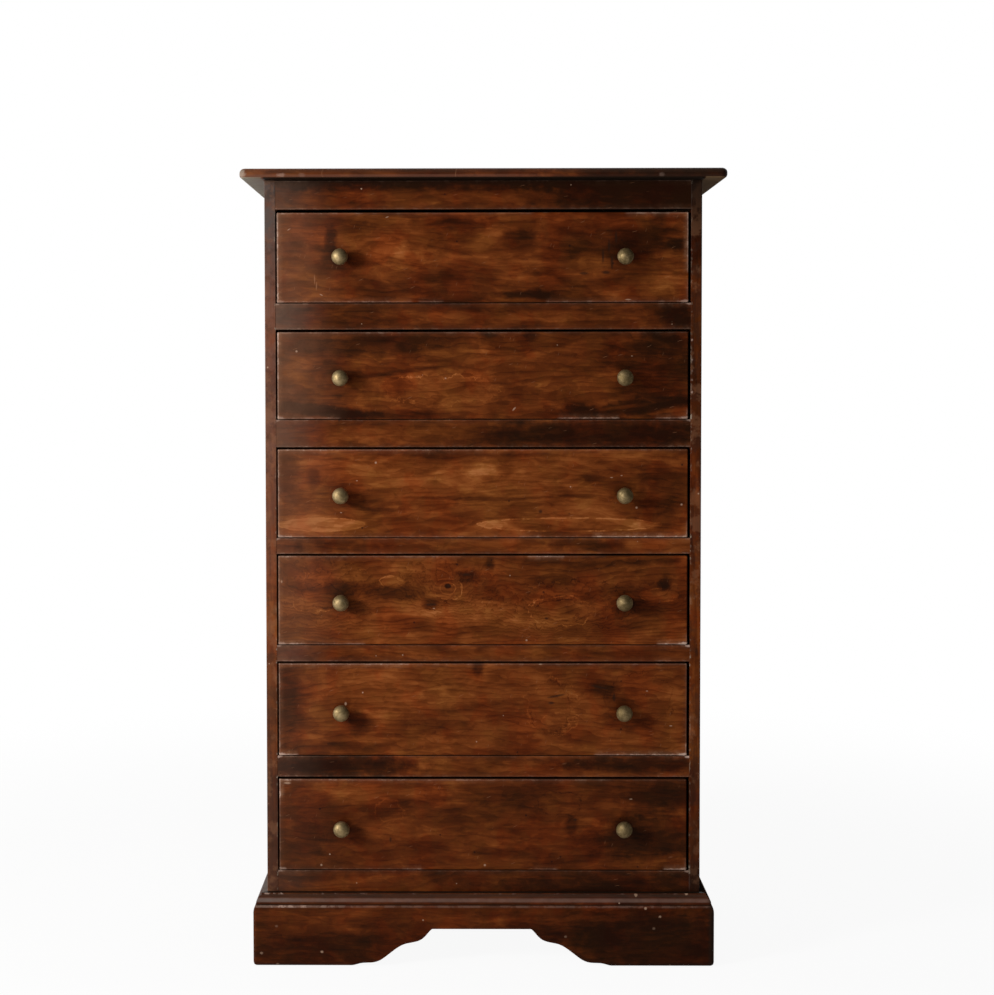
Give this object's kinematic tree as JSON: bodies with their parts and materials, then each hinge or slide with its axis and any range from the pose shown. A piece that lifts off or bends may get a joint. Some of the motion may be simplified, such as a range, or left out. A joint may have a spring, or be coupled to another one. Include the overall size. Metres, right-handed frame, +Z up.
{
  "type": "semainier",
  "caption": "Tall narrow chest with a stack of inset drawers, round brass knobs, an overhanging rounded top and a moulded plinth on scrolled bracket feet.",
  "frame": {"origin": "on the floor, at the middle of the overall width and depth", "axes": "+Z up, +Y to the back, +X to the right as seen from the front; the drawers open towards -Y"},
  "size_m": [0.795, 0.44, 1.317],
  "materials": {
    "stained_wood": "dark red-brown stain under worn satin varnish",
    "bare_wood": "planed, unfinished pine",
    "back_wood": "thin brown stain on planed pine",
    "plywood": "unfinished plywood",
    "antique_brass": "aged satin brass",
    "steel": "dull zinc plated"
  },
  "bodies": {
    "case": {"top_board": "stained_wood", "case_side_left": "stained_wood", "case_side_right": "stained_wood", "back_boards": "back_wood", "top_rail": "stained_wood", "divider_rail_1": "stained_wood", "divider_rail_2": "stained_wood", "divider_rail_3": "stained_wood", "divider_rail_4": "stained_wood", "divider_rail_5": "stained_wood", "bottom_rail": "stained_wood", "runners_and_kickers": "bare_wood", "case_screws": "steel", "plinth_front": "stained_wood", "plinth_left": "stained_wood", "plinth_right": "stained_wood", "plinth_back": "back_wood", "glue_blocks": "bare_wood"},
    "drawer_1": {"drawer_1_front": "stained_wood", "drawer_1_side_left": "bare_wood", "drawer_1_side_right": "bare_wood", "drawer_1_back": "bare_wood", "drawer_1_bottom": "plywood", "drawer_1_knobs": "antique_brass", "drawer_1_knob_screws": "steel"},
    "drawer_2": {"drawer_2_front": "stained_wood", "drawer_2_side_left": "bare_wood", "drawer_2_side_right": "bare_wood", "drawer_2_back": "bare_wood", "drawer_2_bottom": "plywood", "drawer_2_knobs": "antique_brass", "drawer_2_knob_screws": "steel"},
    "drawer_3": {"drawer_3_front": "stained_wood", "drawer_3_side_left": "bare_wood", "drawer_3_side_right": "bare_wood", "drawer_3_back": "bare_wood", "drawer_3_bottom": "plywood", "drawer_3_knobs": "antique_brass", "drawer_3_knob_screws": "steel"},
    "drawer_4": {"drawer_4_front": "stained_wood", "drawer_4_side_left": "bare_wood", "drawer_4_side_right": "bare_wood", "drawer_4_back": "bare_wood", "drawer_4_bottom": "plywood", "drawer_4_knobs": "antique_brass", "drawer_4_knob_screws": "steel"},
    "drawer_5": {"drawer_5_front": "stained_wood", "drawer_5_side_left": "bare_wood", "drawer_5_side_right": "bare_wood", "drawer_5_back": "bare_wood", "drawer_5_bottom": "plywood", "drawer_5_knobs": "antique_brass", "drawer_5_knob_screws": "steel"},
    "drawer_6": {"drawer_6_front": "stained_wood", "drawer_6_side_left": "bare_wood", "drawer_6_side_right": "bare_wood", "drawer_6_back": "bare_wood", "drawer_6_bottom": "plywood", "drawer_6_knobs": "antique_brass", "drawer_6_knob_screws": "steel"}
  },
  "joints": [
    {"name": "drawer_1_slide", "type": "slide", "parent": "case", "child": "drawer_1", "axis": [0, -1, 0], "range_m": [0, 0.3]},
    {"name": "drawer_2_slide", "type": "slide", "parent": "case", "child": "drawer_2", "axis": [0, -1, 0], "range_m": [0, 0.3]},
    {"name": "drawer_3_slide", "type": "slide", "parent": "case", "child": "drawer_3", "axis": [0, -1, 0], "range_m": [0, 0.3]},
    {"name": "drawer_4_slide", "type": "slide", "parent": "case", "child": "drawer_4", "axis": [0, -1, 0], "range_m": [0, 0.3]},
    {"name": "drawer_5_slide", "type": "slide", "parent": "case", "child": "drawer_5", "axis": [0, -1, 0], "range_m": [0, 0.3]},
    {"name": "drawer_6_slide", "type": "slide", "parent": "case", "child": "drawer_6", "axis": [0, -1, 0], "range_m": [0, 0.3]}
  ]
}
